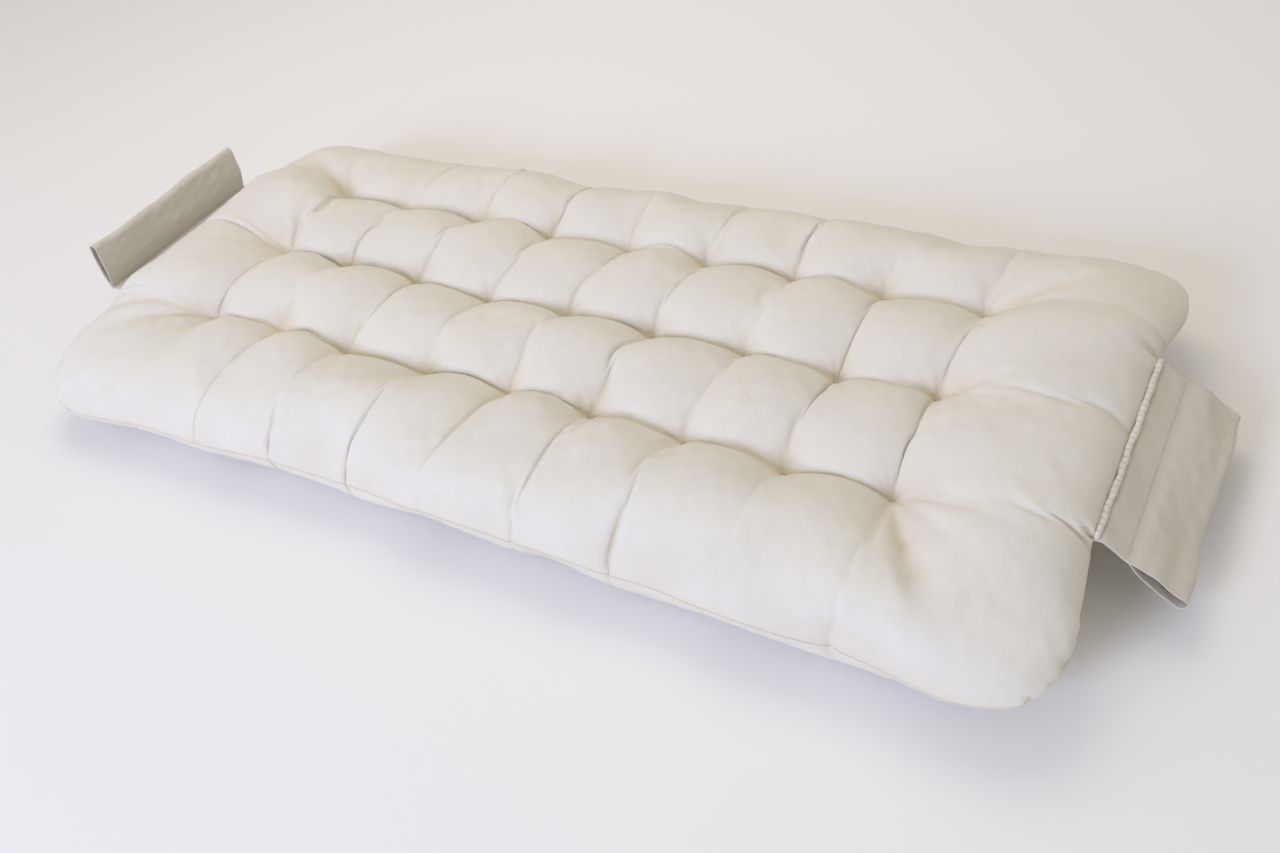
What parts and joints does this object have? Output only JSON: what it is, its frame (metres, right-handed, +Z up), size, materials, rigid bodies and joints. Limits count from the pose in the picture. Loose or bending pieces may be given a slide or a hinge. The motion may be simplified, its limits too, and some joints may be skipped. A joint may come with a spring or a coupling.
{
  "type": "futon mattress",
  "caption": "Thick tufted futon mattress in a plain cotton cover, with a folding cloth pocket flap at the head and at the foot end.",
  "frame": {"origin": "on the floor plane, under the middle of the mattress body, flaps left out", "axes": "+X along the length towards the foot end (the end with the drooping flap), +Y across the width, +Z up out of the sleeping side"},
  "size_m": [2.0886, 0.9, 0.238],
  "materials": {
    "cover_cotton": "undyed woven cotton twill",
    "flap_cotton": "undyed heavy cotton drill",
    "tufting_twine": "waxed cotton twine",
    "sewing_thread": "cotton thread",
    "wool_batting": "carded wool",
    "cotton_batting": "felted cotton batting"
  },
  "bodies": {
    "mattress": {"cover_top_panel": "cover_cotton", "cover_bottom_panel": "cover_cotton", "wool_layer_bottom": "wool_batting", "cotton_batt_lower": "cotton_batting", "core_batt": "cotton_batting", "cotton_batt_upper": "cotton_batting", "wool_layer_top": "wool_batting", "tuft_ties_front_row": "tufting_twine", "tuft_ties_middle_row": "tufting_twine", "tuft_ties_back_row": "tufting_twine", "closing_seam_roll": "cover_cotton", "closing_seam_stitches": "sewing_thread"},
    "head_web": {"head_flap_web": "flap_cotton", "head_pocket_stitching": "sewing_thread"},
    "head_pocket": {"head_flap_pocket": "flap_cotton"},
    "foot_web": {"foot_flap_web": "flap_cotton", "foot_pocket_stitching": "sewing_thread"},
    "foot_pocket": {"foot_flap_pocket": "flap_cotton"}
  },
  "joints": [
    {"name": "head_flap_root_fold", "type": "hinge", "parent": "mattress", "child": "head_web", "pos_m": [-0.951, 0, 0.138], "axis": [0, 1, 0], "range_deg": [-30, 15]},
    {"name": "head_pocket_fold", "type": "hinge", "parent": "head_web", "child": "head_pocket", "pos_m": [-0.997, 0, 0.138], "axis": [0, -1, 0], "range_deg": [-30, 95]},
    {"name": "foot_flap_root_fold", "type": "hinge", "parent": "mattress", "child": "foot_web", "pos_m": [0.9616, 0, 0.138], "axis": [0, -1, 0], "range_deg": [-20, 80]},
    {"name": "foot_pocket_fold", "type": "hinge", "parent": "foot_web", "child": "foot_pocket", "pos_m": [0.99882, 0, 0.11096], "axis": [0, -1, 0], "range_deg": [-5, 90]}
  ]
}
